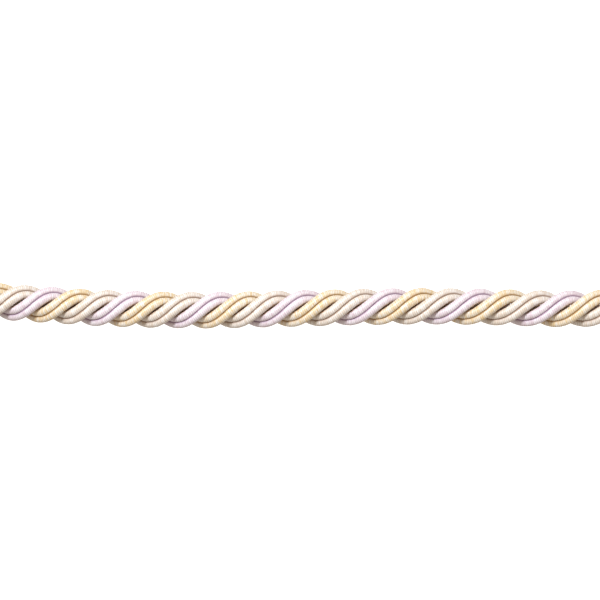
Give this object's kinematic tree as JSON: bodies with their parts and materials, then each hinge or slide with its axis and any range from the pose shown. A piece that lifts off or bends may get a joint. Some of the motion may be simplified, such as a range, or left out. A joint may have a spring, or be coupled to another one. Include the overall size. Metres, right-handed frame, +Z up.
{
  "type": "twisted trim cord",
  "caption": "Cut length of soft twisted trim cord laid from lavender, gold and ivory gimp strands, lying nearly straight.",
  "frame": {"origin": "under the middle of the cord, on the surface that it lies on", "axes": "+X along the cord, +Z up, +Y to the left of +X; the strands on top climb towards +Y as X grows"},
  "size_m": [0.1788, 0.0122, 0.0083],
  "materials": {
    "lavender_yarn": "satin",
    "gold_yarn": "satin",
    "ivory_yarn": "satin"
  },
  "bodies": {
    "root": {"strand_lavender": "lavender_yarn", "strand_gold": "gold_yarn", "strand_ivory": "ivory_yarn"}
  },
  "joints": []
}
